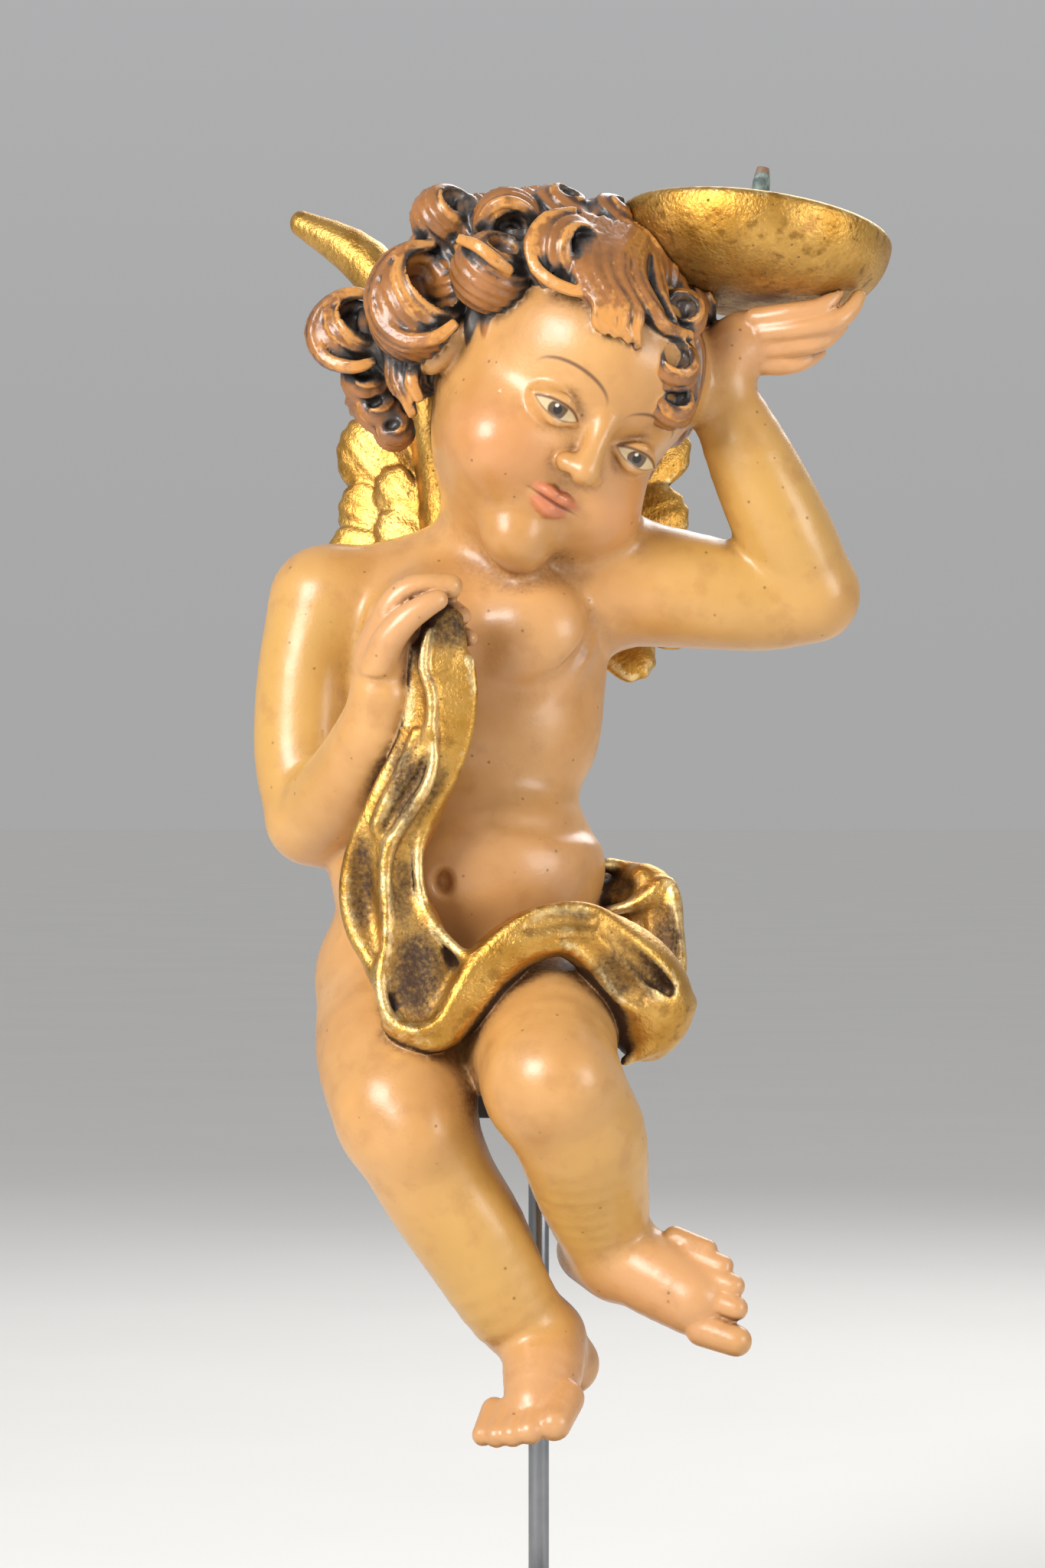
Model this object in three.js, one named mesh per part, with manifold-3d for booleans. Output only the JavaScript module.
// A carved, painted and gilded wooden cherub that lifts a candle dish, held up on a steel display stand.
// Millimetres, +Z up. The cherub looks along -Y, and "left" and "right" are the cherub's own sides.
// The origin is the centre of the foot plate's underside.
import * as THREE from "three";
import { mergeVertices } from "three/addons/utils/BufferGeometryUtils.js";
import Module from "manifold-3d";

const wasm = await Module();
wasm.setup();

// Driving dimensions
const FIT_GAP = 0.3;
const CLAY_STEP = 2.0;
const FIGURE_TRIANGLES = 6900;
const WING_TRIANGLES = 520;

const FOOT = { width: 150, depth: 130, height: 8, corner: 10, edge: 1 };
const ROD = { radius: 3, y: 15 };
const SADDLE = { width: 56, depth: 34, height: 12, corner: 5, x: -22, y: 27, top: 174 };
const DISH = { radius: 39.5, depth: 21, wall: 3.6, foot: 12, clear: 4 };
const DISH_PLACE = { at: [62, -2, 417], lean: 7.5, dip: -9.5 };
const PRICKET = { flange: 6.5, radius: 4, length: 34, point: 1.1 };
const WING_SEAT = { x: -13.5, y: 24, z: 309, width: 57, height: 30, reach: 40 };

const PAINT = {
  flesh: { color: 0xc98f55, roughness: 0.4, metalness: 0 },
  gold: { color: 0xc59a3c, roughness: 0.35, metalness: 1 },
  verdigris: { color: 0x8a9a92, roughness: 0.7, metalness: 0.6 },
  steel: { color: 0x8b8c8e, roughness: 0.25, metalness: 1 },
  black: { color: 0x17171a, roughness: 0.5, metalness: 0.4 },
};

// Distance shapes: each has a box, low to high, and a distance that is negative inside

const vector = (list) => new THREE.Vector3(list[0], list[1], list[2]);

// A round chain through beads [x, y, z, radius], smoothed along its length and flat along Y where asked.
function chain(beads, flat = 1) {
  const smooth = beads.length > 2 ? smoothBeads(beads, 4) : beads;
  const low = [0, 1, 2].map((i) => Math.min(...smooth.map((b) => b[i] - b[3])));
  const high = [0, 1, 2].map((i) => Math.max(...smooth.map((b) => b[i] + b[3])));
  const links = smooth.slice(1).map((b, i) => {
    const a = smooth[i];
    const run = [b[0] - a[0], flat * (b[1] - a[1]), b[2] - a[2]];
    const square = run[0] ** 2 + run[1] ** 2 + run[2] ** 2;
    return { a, run, square, swell: b[3] - a[3] };
  });
  const distance = (x, y, z) => {
    let least = Infinity;
    for (const { a, run, square, swell } of links) {
      const px = x - a[0];
      const py = flat * (y - a[1]);
      const pz = z - a[2];
      const along = (px * run[0] + py * run[1] + pz * run[2]) / square;
      const t = Math.min(1, Math.max(0, along));
      const gap = Math.hypot(px - t * run[0], py - t * run[1], pz - t * run[2]);
      least = Math.min(least, gap - a[3] - t * swell);
    }
    return least;
  };
  return { low, high, distance };
}

// Catmull-Rom through the beads, radius included.
function smoothBeads(beads, steps) {
  const out = [];
  const last = beads.length - 1;
  for (let i = 0; i < last; i += 1) {
    const [a, b] = [beads[i], beads[i + 1]];
    const before = beads[Math.max(0, i - 1)];
    const after = beads[Math.min(last, i + 2)];
    for (let s = 0; s < steps; s += 1) {
      const t = s / steps;
      const spline = (k) => {
        const slopeA = (b[k] - before[k]) / 2;
        const slopeB = (after[k] - a[k]) / 2;
        const rise = b[k] - a[k];
        return a[k] + t * (slopeA + t * (3 * rise - 2 * slopeA - slopeB + t * (slopeA + slopeB - 2 * rise)));
      };
      out.push([0, 1, 2, 3].map(spline));
    }
  }
  out.push(beads[last]);
  return out;
}

// An ellipsoid with its own turn, a quaternion.
function egg(centre, radii, turn = new THREE.Quaternion()) {
  const reach = Math.max(...radii);
  const turned = new THREE.Matrix4().makeRotationFromQuaternion(turn);
  const e = new THREE.Matrix3().setFromMatrix4(turned).transpose().elements;
  const [rx, ry, rz] = radii;
  const distance = (x, y, z) => {
    const px = x - centre[0];
    const py = y - centre[1];
    const pz = z - centre[2];
    const lx = (e[0] * px + e[3] * py + e[6] * pz) / rx;
    const ly = (e[1] * px + e[4] * py + e[7] * pz) / ry;
    const lz = (e[2] * px + e[5] * py + e[8] * pz) / rz;
    const size = Math.hypot(lx, ly, lz);
    const slope = Math.hypot(lx / rx, ly / ry, lz / rz);
    return slope < 1e-9 ? -Math.min(rx, ry, rz) : (size * (size - 1)) / slope;
  };
  return { low: centre.map((c) => c - reach), high: centre.map((c) => c + reach), distance };
}

const softMin = (a, b, k) => Math.min(a, b) - (Math.max(k - Math.abs(a - b), 0) ** 2) / (4 * k);

// A rolled lock of hair: a ball with strands cut round its open axis, hollowed from that side.
function curl({ at: centre, radius, open, hollow, mouth: lip }) {
  const axis = vector(open).normalize();
  const strandPitch = radius * 0.42;
  const strandDepth = radius * 0.045;
  const mouth = vector(centre).addScaledVector(axis, radius * lip);
  const distance = (x, y, z) => {
    const px = x - centre[0];
    const py = y - centre[1];
    const pz = z - centre[2];
    const along = px * axis.x + py * axis.y + pz * axis.z;
    const strand = strandDepth * Math.cos((2 * Math.PI * along) / strandPitch);
    const ball = Math.hypot(px, py, pz) - radius + strand;
    const cup = Math.hypot(x - mouth.x, y - mouth.y, z - mouth.z) - radius * hollow;
    return -softMin(-ball, cup, radius * 0.12);
  };
  return { low: centre.map((c) => c - radius), high: centre.map((c) => c + radius), distance };
}

// A block of clay: distances on a grid, to which shapes are added and from which they are cut.
class Clay {
  constructor(low, high, step) {
    this.low = low;
    this.step = step;
    this.count = low.map((l, i) => Math.ceil((high[i] - l) / step) + 1);
    this.values = new Float32Array(this.count[0] * this.count[1] * this.count[2]).fill(1e3);
  }

  // Rewrites each cell near the shape from what it holds and the shape's own distance.
  work(shape, blend, rule) {
    const reach = blend + 2 * this.step;
    const first = shape.low.map((v, i) => Math.max(0, Math.floor((v - reach - this.low[i]) / this.step)));
    const last = shape.high.map((v, i) =>
      Math.min(this.count[i] - 1, Math.ceil((v + reach - this.low[i]) / this.step)),
    );
    for (let k = first[2]; k <= last[2]; k += 1) {
      const z = this.low[2] + k * this.step;
      for (let j = first[1]; j <= last[1]; j += 1) {
        const y = this.low[1] + j * this.step;
        const row = (k * this.count[1] + j) * this.count[0];
        for (let i = first[0]; i <= last[0]; i += 1) {
          const x = this.low[0] + i * this.step;
          this.values[row + i] = rule(this.values[row + i], shape.distance(x, y, z));
        }
      }
    }
    return this;
  }

  add(shape, blend = 1) {
    return this.work(shape, blend, (held, next) => softMin(held, next, blend));
  }

  cut(shape, blend = 1) {
    return this.work(shape, blend, (held, next) => -softMin(-held, next, blend));
  }

  // The surface where the distance is 0, by marching six tetrahedra in each cell, so that it always closes.
  surface() {
    const TETRAHEDRA = [1, 3, 2, 6, 4, 5].map((corner, i, ring) => [0, corner, ring[(i + 1) % 6], 7]);
    const [nx, ny, nz] = this.count;
    const cornerStep = [...Array(8).keys()].map((c) => (c & 1) + nx * ((c >> 1) & 1) + nx * ny * (c >> 2));
    const points = [];
    const triangles = [];
    const made = new Map();
    const place = (node) => [node % nx, Math.floor(node / nx) % ny, Math.floor(node / (nx * ny))];
    const crossing = (inside, outside) => {
      const key = Math.min(inside, outside) * 1e7 + Math.abs(outside - inside);
      if (made.has(key)) return made.get(key);
      const [a, b] = [this.values[inside], this.values[outside]];
      const t = Math.min(0.92, Math.max(0.08, a / (a - b)));
      const [p, q] = [place(inside), place(outside)];
      p.forEach((v, i) => points.push(this.low[i] + this.step * (v + t * (q[i] - v))));
      made.set(key, points.length / 3 - 1);
      return points.length / 3 - 1;
    };
    const facing = (a, b, c, inside, outside) => {
      const at = (i) => new THREE.Vector3().fromArray(points, 3 * i);
      const normal = at(b).sub(at(a)).cross(at(c).sub(at(a)));
      const out = vector(place(outside)).sub(vector(place(inside)));
      triangles.push(...(normal.dot(out) > 0 ? [a, b, c] : [a, c, b]));
    };
    for (let cell = 0; cell < (nz - 1) * nx * ny; cell += 1) {
      const [i, j] = place(cell);
      if (i === nx - 1 || j === ny - 1) continue;
      const first = this.values[cell] < 0;
      if (cornerStep.every((s) => this.values[cell + s] < 0 === first)) continue;
      const nodes = cornerStep.map((s) => cell + s);
      const within = nodes.map((n) => this.values[n] < 0);
      for (const corners of TETRAHEDRA) {
        const inner = corners.filter((c) => within[c]).map((c) => nodes[c]);
        const outer = corners.filter((c) => !within[c]).map((c) => nodes[c]);
        if (inner.length === 1) {
          facing(...outer.map((o) => crossing(inner[0], o)), inner[0], outer[0]);
        } else if (inner.length === 3) {
          facing(...inner.map((n) => crossing(n, outer[0])), inner[0], outer[0]);
        } else if (inner.length === 2) {
          const [a, b, c, d] = [
            crossing(inner[0], outer[0]),
            crossing(inner[0], outer[1]),
            crossing(inner[1], outer[1]),
            crossing(inner[1], outer[0]),
          ];
          facing(a, b, c, inner[0], outer[0]);
          facing(a, c, d, inner[1], outer[1]);
        }
      }
    }
    return { points, triangles };
  }
}

// A heap of offers, cheapest first.
class Heap {
  items = [];

  push(item) {
    const { items } = this;
    let i = items.length;
    items.push(item);
    while (i > 0) {
      const parent = (i - 1) >> 1;
      if (items[parent].cost <= item.cost) break;
      items[i] = items[parent];
      i = parent;
    }
    items[i] = item;
  }

  pop() {
    const { items } = this;
    const top = items[0];
    const tail = items.pop();
    const size = items.length;
    if (!size) return top;
    let i = 0;
    for (;;) {
      let child = 2 * i + 1;
      if (child >= size) break;
      if (child + 1 < size && items[child + 1].cost < items[child].cost) child += 1;
      if (items[child].cost >= tail.cost) break;
      items[i] = items[child];
      i = child;
    }
    items[i] = tail;
    return top;
  }
}

// Thins a closed surface by collapsing the edges that change its shape least, and keeps it closed.
class Thinner {
  constructor({ points, triangles }) {
    const count = points.length / 3;
    this.places = Array.from({ length: count }, (_, v) => points.slice(3 * v, 3 * v + 3));
    this.around = Array.from({ length: count }, () => []);
    this.quadrics = Array.from({ length: count }, () => Array(10).fill(0));
    this.stamps = new Int32Array(count);
    this.faces = [];
    for (let t = 0; t < triangles.length; t += 3) this.addFace(triangles.slice(t, t + 3));
    this.left = this.faces.length;
    this.offers = new Heap();
  }

  addFace(face) {
    const corner = this.places[face[0]];
    const normal = faceNormal(corner, this.places[face[1]], this.places[face[2]]);
    const size = Math.hypot(normal[0], normal[1], normal[2]) || 1e-12;
    const [a, b, c] = normal.map((x) => x / size);
    const d = -(a * corner[0] + b * corner[1] + c * corner[2]);
    const plane = [a * a, a * b, a * c, a * d, b * b, b * c, b * d, c * c, c * d, d * d];
    for (const v of face) {
      for (let i = 0; i < 10; i += 1) this.quadrics[v][i] += plane[i] * size;
      this.around[v].push(this.faces.length);
    }
    this.faces.push(face);
  }

  offer(a, b) {
    const q = this.quadrics[a].slice();
    for (let i = 0; i < 10; i += 1) q[i] += this.quadrics[b][i];
    const [p, r] = [this.places[a], this.places[b]];
    const edge = Math.hypot(p[0] - r[0], p[1] - r[1], p[2] - r[2]);
    const middle = [(p[0] + r[0]) / 2, (p[1] + r[1]) / 2, (p[2] + r[2]) / 2];
    const best = flattestPoint(q);
    const near = best && Math.hypot(best[0] - middle[0], best[1] - middle[1], best[2] - middle[2]) < 2 * edge;
    let place = near ? best : middle;
    let cost = quadricAt(q, place);
    for (const end of [p, r]) {
      const endCost = quadricAt(q, end);
      if (endCost < cost) {
        cost = endCost;
        place = end;
      }
    }
    cost += 1e-4 * edge * edge;
    this.offers.push({ cost, a, b, place, stampA: this.stamps[a], stampB: this.stamps[b] });
  }

  neighbours(v) {
    const found = new Set();
    for (const f of this.around[v]) for (const w of this.faces[f]) if (w !== v) found.add(w);
    return found;
  }

  // Whether moving v to the spot would turn over a face that stays.
  flips(v, other, spot) {
    for (const f of this.around[v]) {
      const face = this.faces[f];
      if (face[0] === other || face[1] === other || face[2] === other) continue;
      const [p, q, r] = face.map((w) => this.places[w]);
      const old = faceNormal(p, q, r);
      const fresh = faceNormal(face[0] === v ? spot : p, face[1] === v ? spot : q, face[2] === v ? spot : r);
      const turn = old[0] * fresh[0] + old[1] * fresh[1] + old[2] * fresh[2];
      if (turn < 0.3 * Math.hypot(...old) * Math.hypot(...fresh)) return true;
    }
    return false;
  }

  allowed({ a, b, place, stampA, stampB }) {
    if (this.stamps[a] !== stampA || this.stamps[b] !== stampB) return false;
    if (this.around[a].length === 3 && this.around[b].length === 3) return false;
    const nextToB = this.neighbours(b);
    let shared = 0;
    for (const v of this.neighbours(a)) if (nextToB.has(v)) shared += 1;
    return shared === 2 && !this.flips(a, b, place) && !this.flips(b, a, place);
  }

  collapse({ a, b, place }) {
    for (const f of this.around[b]) {
      const face = this.faces[f];
      if (face.includes(a)) {
        for (const v of face) if (v !== b) this.around[v] = this.around[v].filter((g) => g !== f);
        this.faces[f] = null;
        this.left -= 1;
      } else {
        face[face.indexOf(b)] = a;
        this.around[a].push(f);
      }
    }
    this.around[b] = [];
    this.places[a] = place;
    for (let i = 0; i < 10; i += 1) this.quadrics[a][i] += this.quadrics[b][i];
    this.stamps[a] += 1;
    this.stamps[b] += 1;
    for (const v of this.neighbours(a)) this.offer(a, v);
  }

  run(target) {
    for (const [a, b, c] of this.faces) {
      if (a < b) this.offer(a, b);
      if (b < c) this.offer(b, c);
      if (c < a) this.offer(c, a);
    }
    while (this.left > target && this.offers.items.length) {
      const next = this.offers.pop();
      if (this.allowed(next)) this.collapse(next);
    }
    return { points: this.places.flat(), triangles: this.faces.filter(Boolean).flat() };
  }
}

function faceNormal(a, b, c) {
  const [ux, uy, uz] = [b[0] - a[0], b[1] - a[1], b[2] - a[2]];
  const [vx, vy, vz] = [c[0] - a[0], c[1] - a[1], c[2] - a[2]];
  return [uy * vz - uz * vy, uz * vx - ux * vz, ux * vy - uy * vx];
}

function quadricAt(q, [x, y, z]) {
  const first = x * (q[0] * x + 2 * (q[1] * y + q[2] * z + q[3]));
  const second = y * (q[4] * y + 2 * (q[5] * z + q[6]));
  return first + second + z * (q[7] * z + 2 * q[8]) + q[9];
}

// The point of least error of a quadric, by Cramer's rule, or null where it is flat.
function flattestPoint(q) {
  const c00 = q[4] * q[7] - q[5] * q[5];
  const c01 = q[2] * q[5] - q[1] * q[7];
  const c02 = q[1] * q[5] - q[2] * q[4];
  const whole = q[0] * c00 + q[1] * c01 + q[2] * c02;
  if (Math.abs(whole) < 1e-6) return null;
  const c11 = q[0] * q[7] - q[2] * q[2];
  const c12 = q[1] * q[2] - q[0] * q[5];
  const c22 = q[0] * q[4] - q[1] * q[1];
  const [x, y, z] = [-q[3], -q[6], -q[8]];
  const rows = [[c00, c01, c02], [c01, c11, c12], [c02, c12, c22]];
  return rows.map((row) => (row[0] * x + row[1] * y + row[2] * z) / whole);
}

// Solids and meshes

const solidFromLists = ({ points, triangles }) => {
  const geometry = new THREE.BufferGeometry();
  geometry.setAttribute("position", new THREE.Float32BufferAttribute(points, 3));
  geometry.setIndex(triangles);
  return solidFrom(geometry);
};

function solidFrom(geometry, matrix = new THREE.Matrix4()) {
  const bare = geometry.clone().applyMatrix4(matrix);
  bare.deleteAttribute("normal");
  bare.deleteAttribute("uv");
  const merged = mergeVertices(bare, 1e-4);
  return new wasm.Manifold(
    new wasm.Mesh({
      numProp: 3,
      vertProperties: merged.attributes.position.array,
      triVerts: new Uint32Array(merged.index.array),
    }),
  );
}

// The largest closed body of a solid, so that a boolean leaves no crumbs.
const largest = (solid) => solid.decompose().sort((a, b) => b.volume() - a.volume())[0];

function geometryFrom(solid) {
  const { numProp, vertProperties, triVerts } = solid.getMesh();
  const geometry = new THREE.BufferGeometry();
  const places = new THREE.InterleavedBuffer(vertProperties, numProp);
  geometry.setAttribute("position", new THREE.InterleavedBufferAttribute(places, 3, 0));
  geometry.setIndex([...triVerts]);
  return geometry.toNonIndexed();
}

function mesh(name, geometry, paint) {
  geometry.computeVertexNormals();
  const made = new THREE.Mesh(geometry, new THREE.MeshStandardMaterial(paint));
  made.name = name;
  return made;
}

// The head is carved in its own frame: x to its left cheek, -y out of its face, z to its crown.
const turnBy = (x, y, z, order) => {
  const angles = [x, y, z].map(THREE.MathUtils.degToRad);
  return new THREE.Quaternion().setFromEuler(new THREE.Euler(...angles, order));
};
const HEAD = { place: new THREE.Vector3(5.5, -8, 371), turn: turnBy(10, 30, 27, "YZX"), eye: 14.5 };
const onHead = (list) => vector(list).applyQuaternion(HEAD.turn).add(HEAD.place).toArray();
const headBeads = (beads) => beads.map((b) => [...onHead(b), b[3]]);
const headEgg = (centre, radii) => egg(onHead(centre), radii, HEAD.turn);
const SIDES = [-1, 1];

const NOSE = [[0, -37.5, 3, 3], [0, -40.5, -4, 3.2], [0, -43.2, -10.5, 4.4]];
const UPPER_LIP = [
  [-8, -35.4, -22.6, 1], [-2.6, -38.6, -21.4, 1.9], [2.6, -38.6, -21.4, 1.9], [8, -35.4, -22.6, 1],
];
const LOWER_LIP = [[-6.5, -35.6, -24.6, 1], [0, -37.8, -26, 2.3], [6.5, -35.6, -24.6, 1]];
const eyelid = (side) => [
  [side * (HEAD.eye - 7.2), -35.8, -1.4, 0.9],
  [side * (HEAD.eye - 0.3), -37.9, 3, 1.6],
  [side * (HEAD.eye + 7.4), -33.6, -0.4, 0.9],
];

function carveHead(clay) {
  clay.add(headEgg([0, 5, 9], [37, 38, 38]), 4);
  clay.add(headEgg([0, -9, -17], [29.5, 28.5, 28]), 14);
  clay.add(headEgg([0, -13, 17], [29, 27, 24]), 10);
  clay.add(headEgg([0, -31, -38], [9.5, 9, 8.5]), 9);
  for (const side of SIDES) {
    clay.add(headEgg([side * 17, -22, -18.5], [13.5, 14.5, 13.5]), 9);
    clay.cut(headEgg([side * HEAD.eye, -43, 0], [9.5, 6.5, 6]), 6);
    clay.add(headEgg([side * HEAD.eye, -30, -0.8], [7.6, 8.2, 7.2]), 1);
    clay.add(chain(headBeads(eyelid(side))), 1.5);
    clay.add(headEgg([side * 36.5, 3, -6], [4.5, 7.5, 10]), 2);
  }
  clay.add(chain(headBeads(NOSE)), 4);
  for (const side of SIDES) clay.add(headEgg([side * 4.4, -40.4, -11.4], [3.2, 3.4, 2.8]), 2);
  clay.add(chain(headBeads(UPPER_LIP)), 1.5);
  clay.add(chain(headBeads(LOWER_LIP)), 1.5);
}

// Beads of the limbs, shoulder or hip first
const LIMBS = {
  neck: [[-14, 7, 318, 16.5], [-9, 5, 348, 16]],
  rightShoulder: [[-22, 10, 321, 11], [-42, 9, 317, 12], [-60, 7, 311, 14]],
  leftShoulder: [[-6, 10, 323, 11], [8, 8, 322, 14], [20, 5, 318, 17]],
  rightUpperArm: [[-61.5, 6, 311, 16], [-66.5, 3, 290.5, 14.5], [-68, 0, 267.5, 13.8], [-65, -6, 249.5, 13]],
  rightForearm: [[-64.5, -8, 248.5, 13], [-54, -26, 258.5, 13], [-47, -42, 272, 10.6], [-44, -49, 283, 8.2]],
  leftUpperArm: [[18.5, 4, 318, 19], [45.5, 0, 314, 16.5], [65, 0, 311.5, 14.5], [78.5, 0, 312.5, 13]],
  leftForearm: [[78, -1, 314.5, 13.2], [70, -6, 331.5, 13.8], [61, -9, 350.5, 12.5], [51.5, -10, 371, 9.3]],
  rightThigh: [[-40, 4, 199, 23.5], [-42, -28, 183, 21], [-39, -50, 169, 19]],
  rightShin: [
    [-35, -52, 162, 18], [-28, -48, 147, 16.6], [-19, -45, 132.5, 15.8], [-8, -41, 113, 13.2],
    [1, -37, 103.5, 10.8],
  ],
  leftThigh: [[-1.5, 0, 199, 25], [0.5, -40, 188, 21.5], [3, -66, 177, 18.5]],
  leftShin: [
    [4, -64, 174, 18], [11, -58, 162, 18.3], [14.5, -48, 147, 16], [18.5, -40, 132.5, 12.6],
    [22, -36, 124, 11],
  ],
};

function carveTorso(clay) {
  clay.add(egg([-17, 3, 299.5], [37, 26, 33]), 1);
  clay.add(egg([-18, 0, 274.5], [35.5, 27, 30]), 12);
  clay.add(egg([-20.5, -5, 234.5], [39.5, 32, 28]), 10);
  clay.add(egg([-22, 4, 207], [40, 31, 28]), 10);
  clay.add(egg([-3, -15.5, 301.5], [18.5, 15, 17]), 7);
  clay.add(egg([-32, -15.5, 301.5], [17.5, 15, 17]), 7);
  clay.add(egg([-39.5, 24, 195], [24, 22, 24]), 8);
  clay.add(egg([-5, 24, 195], [24, 22, 24]), 8);
  clay.cut(egg([-27, -38, 231], [4, 5, 4.5]), 4);
  clay.cut(chain([[20, 0, 247, 1.6], [9, -23.5, 246.5, 2.2], [-3, -31, 247.5, 1.8], [-14, -34, 250, 1]]), 5);
  clay.cut(chain([[-16, -31, 288, 1], [-4, -30, 284.5, 2], [8, -26, 290, 2], [18, -20, 309, 1.4]]), 3.5);
  clay.cut(chain([[-20, -31, 288, 1], [-30, -30, 284.5, 1.7], [-42, -25, 288, 1.4]]), 3.5);
}

function carveLimbs(clay) {
  clay.add(chain(LIMBS.neck), 8);
  clay.add(chain(LIMBS.rightShoulder), 9);
  clay.add(chain(LIMBS.leftShoulder), 9);
  clay.add(chain(LIMBS.rightUpperArm), 7);
  clay.add(chain(LIMBS.leftUpperArm), 7);
  clay.add(chain(LIMBS.rightForearm), 3);
  clay.add(chain(LIMBS.leftForearm), 4);
  clay.add(chain(LIMBS.rightThigh), 8);
  clay.add(chain(LIMBS.leftThigh), 8);
  clay.add(chain(LIMBS.rightShin), 5);
  clay.add(chain(LIMBS.leftShin), 5);
  clay.add(egg([-34, -61, 161], [9, 9, 10]), 6);
  clay.add(egg([6, -75, 176], [11, 9, 11]), 6);
}

// Feet: an instep, a heel and five toes, big toe first
const FEET = {
  right: {
    instep: [[1.5, -37, 103, 11.5], [1, -47, 95, 11.3], [-1, -57, 86.5, 8.6]],
    heel: [8, -28, 95, 9],
    reach: [3, 9, 6],
    toes: [
      [4, -67, 82.5, 4.8], [-2.6, -68, 80.6, 3.8], [-7.4, -67.5, 79.6, 3.5], [-11.8, -66, 79, 3.3],
      [-15.6, -63.5, 79, 3.1],
    ],
  },
  left: {
    instep: [[22, -38, 127, 11.8], [33, -44, 121, 11.6], [43, -50, 115, 10]],
    heel: [13.5, -30, 127, 8.5],
    reach: [-9, 4, 3],
    toes: [
      [54.5, -58, 104.4, 4.4], [54.5, -57, 113.3, 3.4], [53.8, -55, 119.3, 3.3], [51, -52, 124.6, 3.1],
      [46.8, -49, 129, 2.9],
    ],
  },
};

function carveFoot(clay, { instep, heel, reach, toes }) {
  clay.add(chain(instep), 3);
  clay.add(egg(heel.slice(0, 3), [heel[3], heel[3], heel[3]]), 6);
  toes.forEach((toe) => {
    const knuckle = [toe[0] + reach[0], toe[1] + reach[1], toe[2] + reach[2], toe[3] * 1.15];
    clay.add(chain([knuckle, toe]), 1.2);
  });
}

// Hands: a palm and fingers, each a short chain
const HANDS = {
  right: {
    palm: [[-44, -49, 284, 8.2], [-43.5, -50, 294, 8.2], [-40, -50, 302, 7.2], [-34, -49, 306, 5]],
    fingers: [
      [[-44, -53, 300, 4.2], [-41, -55, 308, 4], [-36, -56, 312.6, 3.8], [-24.5, -56, 313.6, 3.3]],
      [[-42, -47, 302, 4.2], [-38, -48, 310.5, 4], [-31, -48, 313.2, 3.7], [-25, -48, 313, 3.2]],
      [[-40, -43, 301, 4], [-33, -44, 307.5, 3.6], [-26, -46, 307.8, 3.2], [-21.5, -48, 305.6, 2.6]],
      [[-39, -40, 297, 4], [-31, -41, 302, 3.4], [-24.5, -44, 301.5, 3], [-19.5, -47, 299.4, 2.4]],
      [[-45, -55, 290, 5], [-42, -58.5, 298, 4.6], [-37, -60.5, 304, 4], [-28, -60.5, 309.6, 2.8]],
    ],
  },
  left: {
    palm: [[51, -10, 371, 9.3], [54, -10, 380, 10], [59, -9, 384.5, 9.5], [63, -8, 385.5, 8]],
    fingers: [
      [[62, -15, 391, 3.6], [71, -18.5, 392.3, 3.2], [80, -19, 394, 2.9], [86, -16, 402.5, 2.2]],
      [[64, -16, 387, 3.6], [74, -19.5, 388, 3.1], [84, -19.5, 390, 2.9], [91, -15.5, 397.5, 2.1]],
      [[65, -14, 382.8, 3.6], [74, -17, 383.2, 3], [81, -16.5, 385, 2.8], [86, -14, 389.5, 2.3]],
      [[63, -11, 378.8, 3.4], [69, -13.5, 377.8, 2.8], [75, -13.5, 379, 2.6], [80, -11, 382, 2.1]],
      [[50, -6, 384, 5], [46.5, -2, 391, 4.4], [48, 3, 397, 3.6]],
    ],
  },
};

function carveHand(clay, { palm, fingers }) {
  clay.add(chain(palm), 3);
  fingers.forEach((finger) => clay.add(chain(finger), 1.2));
}

// Hair: a cap, named curls over the brow and temples, and rows of curls round the back of the head
const FRONT_CURLS = [
  { at: [-27.5, -18, 420], radius: 9.4, open: [0.62, -0.66, 0.42], hollow: 0.52, mouth: 0.8 },
  { at: [-35, -22, 394], radius: 15, open: [0.5, -0.62, 0.6], hollow: 0.62, mouth: 0.66 },
  { at: [-54.5, -5, 387.5], radius: 11.5, open: [0.42, -0.66, 0.62], hollow: 0.58, mouth: 0.72 },
  { at: [-13.5, -35, 402.5], radius: 11.6, open: [0.35, -0.55, 0.76], hollow: 0.4, mouth: 0.88 },
  { at: [-9, -25, 417.5], radius: 10, open: [0.15, -0.9, -0.3], hollow: 0.46, mouth: 0.84 },
  { at: [5, -38, 407.5], radius: 12, open: [0.72, -0.66, 0.1], hollow: 0.5, mouth: 0.8 },
  { at: [5, -17, 420], radius: 9.5, open: [0.4, -0.4, 0.8], hollow: 0.3, mouth: 0.9 },
  { at: [20, -14, 418.5], radius: 8.5, open: [0.5, -0.3, 0.8], hollow: 0.28, mouth: 0.92 },
  { at: [40, -30, 391], radius: 7.4, open: [0.1, -0.93, 0.35], hollow: 0.5, mouth: 0.8 },
  { at: [38, -37, 376.5], radius: 7.4, open: [0.15, -0.85, 0.5], hollow: 0.4, mouth: 0.86 },
  { at: [37.5, -35, 366.5], radius: 6.4, open: [0.2, -0.8, 0.5], hollow: 0.36, mouth: 0.88 },
  { at: [-49.5, -4, 374.5], radius: 7.2, open: [-0.1, -0.86, 0.3], hollow: 0.36, mouth: 0.88 },
  { at: [-46, -3, 366], radius: 6.6, open: [-0.2, -0.8, 0.4], hollow: 0.36, mouth: 0.88 },
  { at: [-41.5, -4, 360], radius: 6, open: [-0.1, -0.86, 0.3], hollow: 0.34, mouth: 0.9 },
  { at: [-46, 8, 371], radius: 10, open: [-0.7, 0.1, 0.6], hollow: 0.4, mouth: 0.86 },
];
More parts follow.
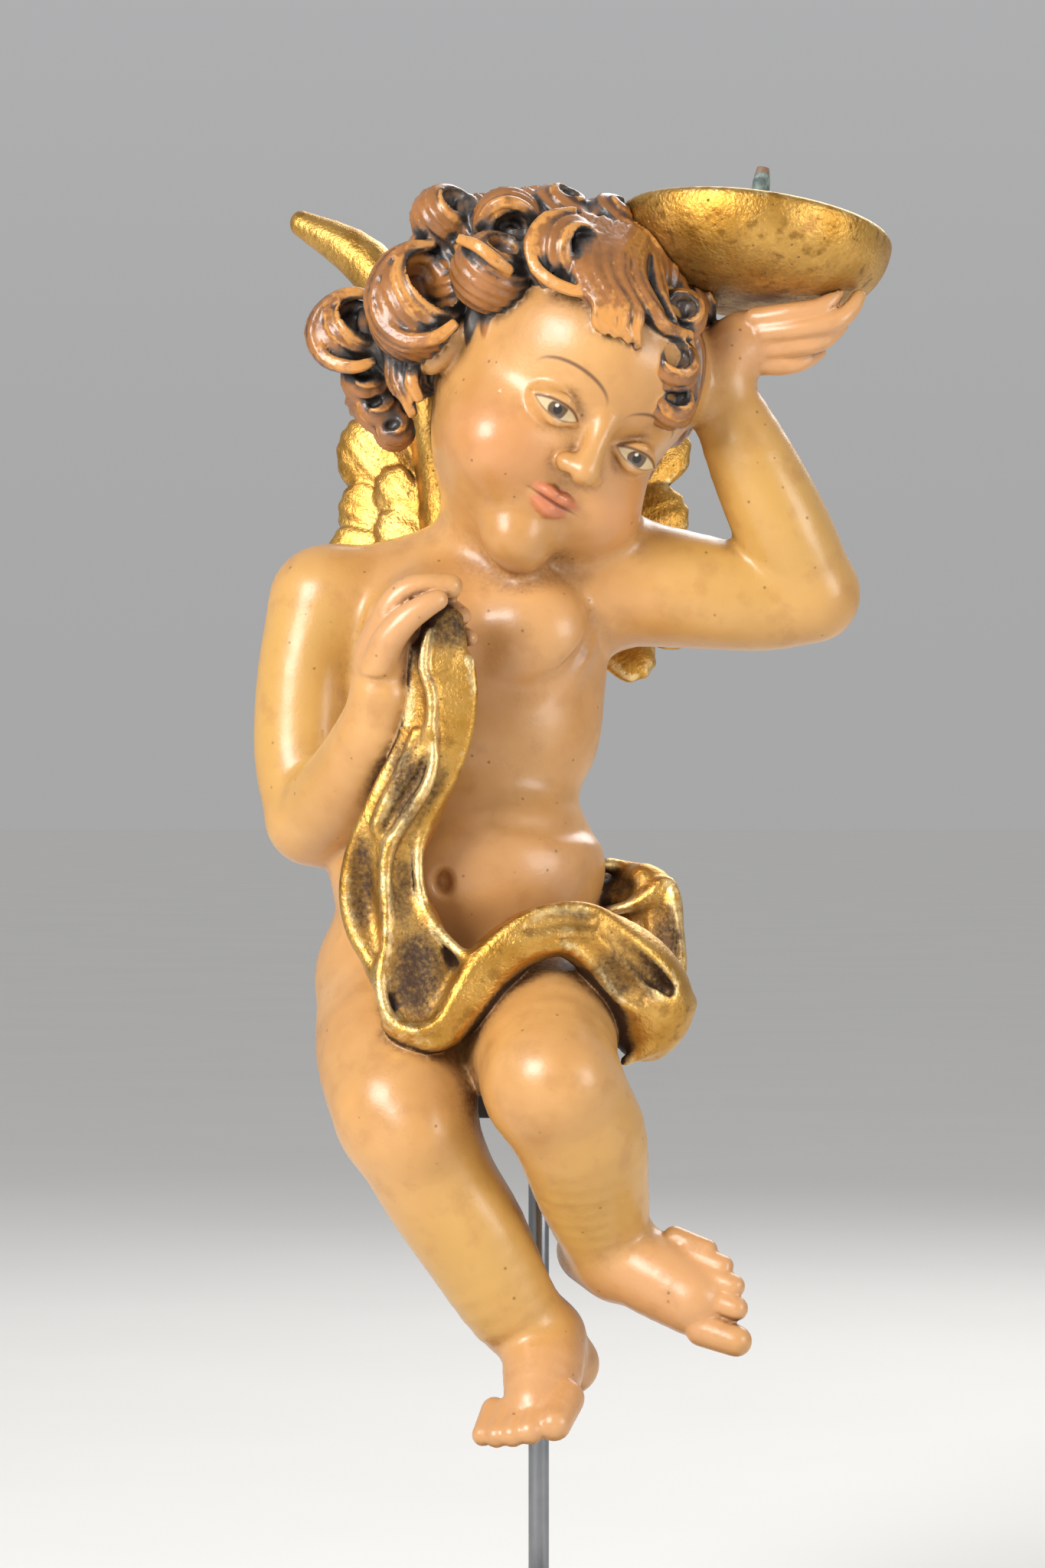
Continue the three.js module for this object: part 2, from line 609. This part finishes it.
const FRINGE = [
  [[13, -32, 414, 6], [11.5, -40, 406, 6], [14.5, -47, 397, 5], [16, -51, 390, 3], [19, -51, 385, 1.8]],
  [[20, -31, 413, 6], [18, -40, 404, 6.5], [20, -47, 396, 5.5], [23, -50, 388, 3.4], [25, -50, 383, 1.8]],
  [[26, -28, 412, 6], [24.5, -38, 403, 6], [26, -45, 395, 5], [28, -48, 387, 3.2], [28.5, -48, 381, 1.8]],
  [[28, -25, 412, 6], [31, -34, 403, 5.6], [32, -41, 395, 5], [36, -42, 387, 4.6], [41, -36, 384.5, 3.6]],
  [[-40, -14, 380, 5], [-39, -17, 371, 4], [-35, -19, 364, 1.8]],
  [[40, -26, 389, 5], [42.5, -27, 380, 5], [42, -28, 371, 4.5], [40, -28, 362, 3]],
];
const HAIR_MASSES = [
  { at: [-20, -4, 404], radius: 20 },
  { at: [-38, 2, 386], radius: 17 },
  { at: [24, -14, 402], radius: 19 },
];
const BACK_ROWS = [
  { lift: 58, from: 60, to: 300, curls: 6, radius: 9.5 },
  { lift: 28, from: 85, to: 275, curls: 7, radius: 10 },
  { lift: -2, from: 95, to: 265, curls: 7, radius: 10 },
  { lift: -30, from: 105, to: 255, curls: 6, radius: 9 },
];
const BACK_CURL = { hollow: 0.46, mouth: 0.82 };
const HAIR_CAP = { centre: [0, 8, 10], radii: [39, 38, 38] };

function carveHair(clay) {
  clay.add(headEgg(HAIR_CAP.centre, HAIR_CAP.radii), 1);
  HAIR_MASSES.forEach(({ at, radius }) => clay.add(egg(at, [radius, radius, radius]), 4));
  for (const { lift, from, to, curls, radius } of BACK_ROWS) {
    for (let i = 0; i < curls; i += 1) {
      const round = THREE.MathUtils.degToRad(from + ((to - from) * i) / (curls - 1));
      const up = THREE.MathUtils.degToRad(lift);
      const out = [Math.sin(round) * Math.cos(up), -Math.cos(round) * Math.cos(up), Math.sin(up)];
      const seat = HAIR_CAP.centre.map((c, k) => c + out[k] * (HAIR_CAP.radii[k] - 2));
      const open = new THREE.Vector3(out[0] + 0.4, out[1], out[2] + 0.5).applyQuaternion(HEAD.turn);
      clay.add(curl({ at: onHead(seat), radius, open: open.toArray(), ...BACK_CURL }), 1.2);
    }
  }
  FRONT_CURLS.forEach((one) => clay.add(curl(one), 1.2));
  FRINGE.forEach((lock) => clay.add(chain(lock), 1.2));
}

// Drapery: a sash from the right hand to the lap, over the left thigh and round the hip
const SASH = {
  body: [
    [-25.5, -52, 300, 6], [-25.5, -51, 285, 8], [-28.5, -48, 270, 9], [-36.5, -45, 254, 9.5],
    [-42, -43, 238.5, 10], [-42.5, -43, 223, 12], [-37.5, -46, 207, 12], [-32, -52, 194, 8.5],
  ],
  lap: [
    [-37, -50, 193, 8], [-27, -54, 191, 7.5], [-17.5, -54, 202, 8], [-8.5, -52, 212, 8.5],
    [5, -50, 216.5, 8.5], [18.5, -46, 214, 9.5], [29.5, -38, 203, 13], [33, -32, 194, 13],
  ],
  tail: [[16, 6, 223, 8], [27, 0, 222, 8.5], [34, -6, 215, 7.5], [36, -12, 206, 6.5]],
  wrap: [[30, -2, 221, 5], [22, 16, 219, 5], [8, 30, 216, 4.6], [-12, 35, 213, 4.2], [-34, 33, 210, 3]],
  wrapFolds: [7, 0, -7],
  ridges: [
    [[-31, -59, 300, 1.6], [-30, -60, 284, 2], [-32.5, -58, 268, 2], [-45, -53, 245, 1.6]],
    [[-29.5, -57, 271, 2], [-30, -56, 261, 2.6], [-36, -55, 251, 2.8], [-41.5, -54, 239.5, 2.6],
      [-42.5, -56, 217, 2.8], [-41, -58, 202, 2.8], [-35, -60, 190, 3], [-27.5, -61, 193, 3]],
    [[-48, -50, 252, 2.2], [-52, -48, 240, 2.4], [-54, -46, 229, 2.6], [-53, -48, 219, 2.6],
      [-45, -55, 204, 2.4]],
    [[-21.5, -56, 296, 2], [-18.5, -54, 283.5, 2.2], [-20, -54, 272, 2.2], [-25, -53, 256.5, 2.4],
      [-33.5, -52, 239, 2.4], [-33.5, -52, 228.5, 2.4], [-30, -54, 218, 2.4], [-22.5, -57, 206, 2.4]],
    [[-20, -58, 207.5, 2.6], [-8, -58, 219.5, 2.8], [7.5, -56, 223.5, 2.8], [17.5, -54, 221.5, 3],
      [29, -48, 211, 3], [38.5, -38, 201, 3], [42, -32, 194.5, 3]],
    [[-26, -62, 192, 2.4], [-15, -60, 204, 2.4], [5, -57, 214, 2.6], [20, -54, 210, 3], [31, -46, 198, 2.8]],
    [[18, -4, 221, 2.6], [28, -6, 225.5, 2.8], [38, -3, 229.5, 3], [41, -6, 222, 2.6], [43, -14, 205, 2.6]],
  ],
  hollows: [
    [[-32.5, -58, 267, 2], [-39, -56, 256, 2.6], [-43.5, -54, 245, 1.8]],
    [[-48.5, -52, 239, 3], [-48.5, -51, 227, 4], [-46.5, -51, 216, 3]],
    [[-37, -54, 232, 2.6], [-36, -56, 220, 4], [-33, -59, 209, 6], [-32.5, -61, 198, 5.5]],
    [[0, -59, 219, 2.2], [7.5, -59, 220, 2.6], [13, -57, 218.5, 2]],
    [[16, -56, 208, 2.2], [23, -52, 205, 3.4], [28, -47, 198, 3]],
    [[29, -8, 217, 3.5], [35, -14, 208, 5]],
  ],
};

function carveSash(clay) {
  clay.add(chain(SASH.body), 1.5);
  clay.add(chain(SASH.lap), 3);
  clay.add(chain(SASH.tail), 3);
  SASH.wrapFolds.forEach((rise) => clay.add(chain(SASH.wrap.map(([x, y, z, r]) => [x, y, z + rise, r])), 3));
  SASH.ridges.forEach((ridge) => clay.add(chain(ridge), 3));
  SASH.hollows.forEach((hollow) => clay.cut(chain(hollow), 2.5));
}

// The figure, cut flat where it sits, where the wings are set and where the dish beds in the hand
const dishMatrix = new THREE.Matrix4().compose(
  vector(DISH_PLACE.at),
  turnBy(DISH_PLACE.dip, DISH_PLACE.lean, 0, "XYZ"),
  new THREE.Vector3(1, 1, 1),
);

const boxAt = (size, centre) => new THREE.BoxGeometry(...size).translate(...centre);

function cherubFigure() {
  const clay = new Clay([-92, -94, 66], [112, 70, 450], CLAY_STEP);
  carveTorso(clay);
  carveLimbs(clay);
  carveHead(clay);
  carveFoot(clay, FEET.right);
  carveFoot(clay, FEET.left);
  carveHand(clay, HANDS.right);
  carveHand(clay, HANDS.left);
  carveSash(clay);
  carveHair(clay);
  let solid = solidFromLists(new Thinner(clay.surface()).run(FIGURE_TRIANGLES));
  const seatSize = [SADDLE.width + 4, SADDLE.depth + 4, 40];
  const seatPlace = [SADDLE.x, SADDLE.y, SADDLE.top + FIT_GAP - seatSize[2] / 2];
  solid = solid.subtract(solidFrom(boxAt(seatSize, seatPlace)));
  solid = solid.subtract(solidFrom(dishBlank(FIT_GAP), dishMatrix));
  const pad = [WING_SEAT.width, WING_SEAT.reach, WING_SEAT.height];
  const padPlace = [WING_SEAT.x, WING_SEAT.y + WING_SEAT.reach / 2, WING_SEAT.z];
  solid = solid.subtract(solidFrom(boxAt(pad, padPlace)));
  return mesh("cherub_figure", geometryFrom(largest(solid)), PAINT.flesh);
}

// The dish: a turned bowl on a small flat foot

function dishOutline(grow) {
  const { radius, depth, foot } = DISH;
  const arc = [...Array(7).keys()].map((i) => {
    const turn = (i / 6) * 0.5 * Math.PI;
    return new THREE.Vector2(
      foot + (radius - foot) * Math.sin(turn) ** 0.85 + grow * Math.sin(turn),
      -depth * Math.cos(turn) - grow * Math.cos(turn),
    );
  });
  return [new THREE.Vector2(0, -depth - grow), ...arc];
}

// The dish's full round form with room above its rim, to clear the hand and the hair from it.
const dishBlank = (grow) => {
  const top = [new THREE.Vector2(DISH.radius + grow, DISH.clear), new THREE.Vector2(0, DISH.clear)];
  return turned([...dishOutline(grow), ...top]);
};

// A closed turned solid whose axis is +Z; the profile runs from the bottom on the axis to the top on it.
function turned(profile, sides = 24) {
  return new THREE.LatheGeometry(profile, sides).rotateX(Math.PI / 2);
}

function candleDish() {
  const { radius, depth, wall } = DISH;
  const innerRadius = radius - wall;
  const innerDepth = depth - 1.8 * wall;
  const bowl = [...Array(6).keys()].map((i) => {
    const turn = (i / 5) * 0.5 * Math.PI;
    return new THREE.Vector2(8 + (innerRadius - 8) * Math.cos(turn), -innerDepth * Math.sin(turn));
  });
  const rim = [new THREE.Vector2(radius - 0.6, 1.6), new THREE.Vector2(radius - wall / 2, 2.2)];
  const profile = [...dishOutline(0), ...rim, ...bowl, new THREE.Vector2(0, -innerDepth)];
  return mesh("candle_dish", turned(profile).applyMatrix4(dishMatrix), PAINT.gold);
}

function pricket() {
  const floor = -(DISH.depth - 1.8 * DISH.wall) + FIT_GAP;
  const { flange, radius, length, point } = PRICKET;
  const profile = [
    [0, 0], [flange, 0], [flange, 1.2], [radius, 2.2], [radius * 0.85, length * 0.6],
    [radius * 0.6, length * 0.85], [point, length * 0.985], [0, length],
  ].map(([r, z]) => new THREE.Vector2(r, floor + z));
  return mesh("candle_pricket", turned(profile, 12).applyMatrix4(dishMatrix), PAINT.verdigris);
}

// Wings: a fan of feathers on the back. Carved as the left wing; the right one is mirrored by its width.
const WINGS = [
  { name: "right_wing", root: [-26, WING_SEAT.y, 314], widen: -0.85, sweep: -22, lean: -4, reach: 1 },
  { name: "left_wing", root: [-7, WING_SEAT.y, 314], widen: 1, sweep: 14, lean: -16, reach: 1.2 },
];
const FAN = { foot: 8, depth: 13, slope: 0.1, flat: 3 };
const FEATHERS = [
  { angle: 66, length: 60, tip: 9 },
  { angle: 45, length: 63, tip: 12 },
  { angle: 27, length: 51, tip: 10 },
  { angle: 8, length: 50, tip: 9.5 },
  { angle: -13, length: 48, tip: 9 },
  { angle: -33, length: 42, tip: 8 },
];
const COVERTS = { share: 0.66, y: -4 };
const LONG_FEATHER = [[4, 8, 8, 9], [9, 12, 42, 9], [19, 14, 76, 9], [38, 15, 101, 8], [64, 15, 115, 4]];

// A feather of the fan, narrow at its foot and round at its tip.
function feather(angle, length, tip, y) {
  const turn = THREE.MathUtils.degToRad(angle);
  const steps = [[0.15 * length, 0.5 * tip], [0.55 * length, 0.86 * tip], [length - tip, tip]];
  const beads = steps.map(([along, radius]) => [
    along * Math.cos(turn), y, FAN.foot + along * Math.sin(turn), radius,
  ]);
  return chain(beads, FAN.flat);
}

function wing({ name, root, widen, sweep, lean, reach }) {
  const clay = new Clay([-16, -8, -48], [84, 32, 128], CLAY_STEP);
  clay.add(egg([2, 6, 2], [10, 9, 17]), 1);
  clay.add(chain(LONG_FEATHER), 2);
  FEATHERS.forEach(({ angle, length, tip }) => {
    const y = FAN.depth + FAN.slope * (angle - FEATHERS[0].angle);
    clay.add(feather(angle, reach * length, tip, y), 1.5);
    clay.add(feather(angle, COVERTS.share * reach * length, COVERTS.share * tip, y + COVERTS.y), 1);
  });
  const solid = solidFromLists(new Thinner(clay.surface()).run(WING_TRIANGLES));
  const place = new THREE.Matrix4().compose(
    vector(root),
    turnBy(lean, 0, sweep, "XZY"),
    new THREE.Vector3(widen, 1, 1),
  );
  const placed = solid.transform(place.elements);
  const front = [200, 80, 300];
  const seat = boxAt(front, [root[0], WING_SEAT.y + FIT_GAP - front[1] / 2, root[2]]);
  return mesh(name, geometryFrom(largest(placed.subtract(solidFrom(seat)))), PAINT.gold);
}

// The stand: a foot plate, a round rod and a saddle under the seat

function roundedPlate({ width, depth, height, corner }, bevel) {
  const [w, d] = [width / 2 - bevel, depth / 2 - bevel];
  const r = corner;
  const outline = new THREE.Shape()
    .moveTo(-w + r, -d)
    .lineTo(w - r, -d)
    .absarc(w - r, -d + r, r, -Math.PI / 2, 0)
    .lineTo(w, d - r)
    .absarc(w - r, d - r, r, 0, Math.PI / 2)
    .lineTo(-w + r, d)
    .absarc(-w + r, d - r, r, Math.PI / 2, Math.PI)
    .lineTo(-w, -d + r)
    .absarc(-w + r, -d + r, r, Math.PI, 1.5 * Math.PI);
  return new THREE.ExtrudeGeometry(outline, {
    depth: height - 2 * bevel,
    bevelSize: bevel,
    bevelThickness: bevel,
    bevelSegments: 1,
    curveSegments: 3,
  }).translate(0, 0, bevel);
}

function standPieces() {
  const saddleBottom = SADDLE.top - SADDLE.height;
  const rodLength = saddleBottom - FOOT.height - 2 * FIT_GAP;
  const rod = new THREE.CylinderGeometry(ROD.radius, ROD.radius, rodLength, 20).rotateX(Math.PI / 2);
  return [
    mesh("stand_foot", roundedPlate(FOOT, FOOT.edge), PAINT.black),
    mesh("stand_rod", rod.translate(0, ROD.y, FOOT.height + FIT_GAP + rodLength / 2), PAINT.steel),
    mesh("stand_saddle", roundedPlate(SADDLE, 1).translate(SADDLE.x, SADDLE.y, saddleBottom), PAINT.black),
  ];
}

const cherub = new THREE.Group();
cherub.add(cherubFigure(), ...WINGS.map(wing), candleDish(), pricket(), ...standPieces());

export default cherub;
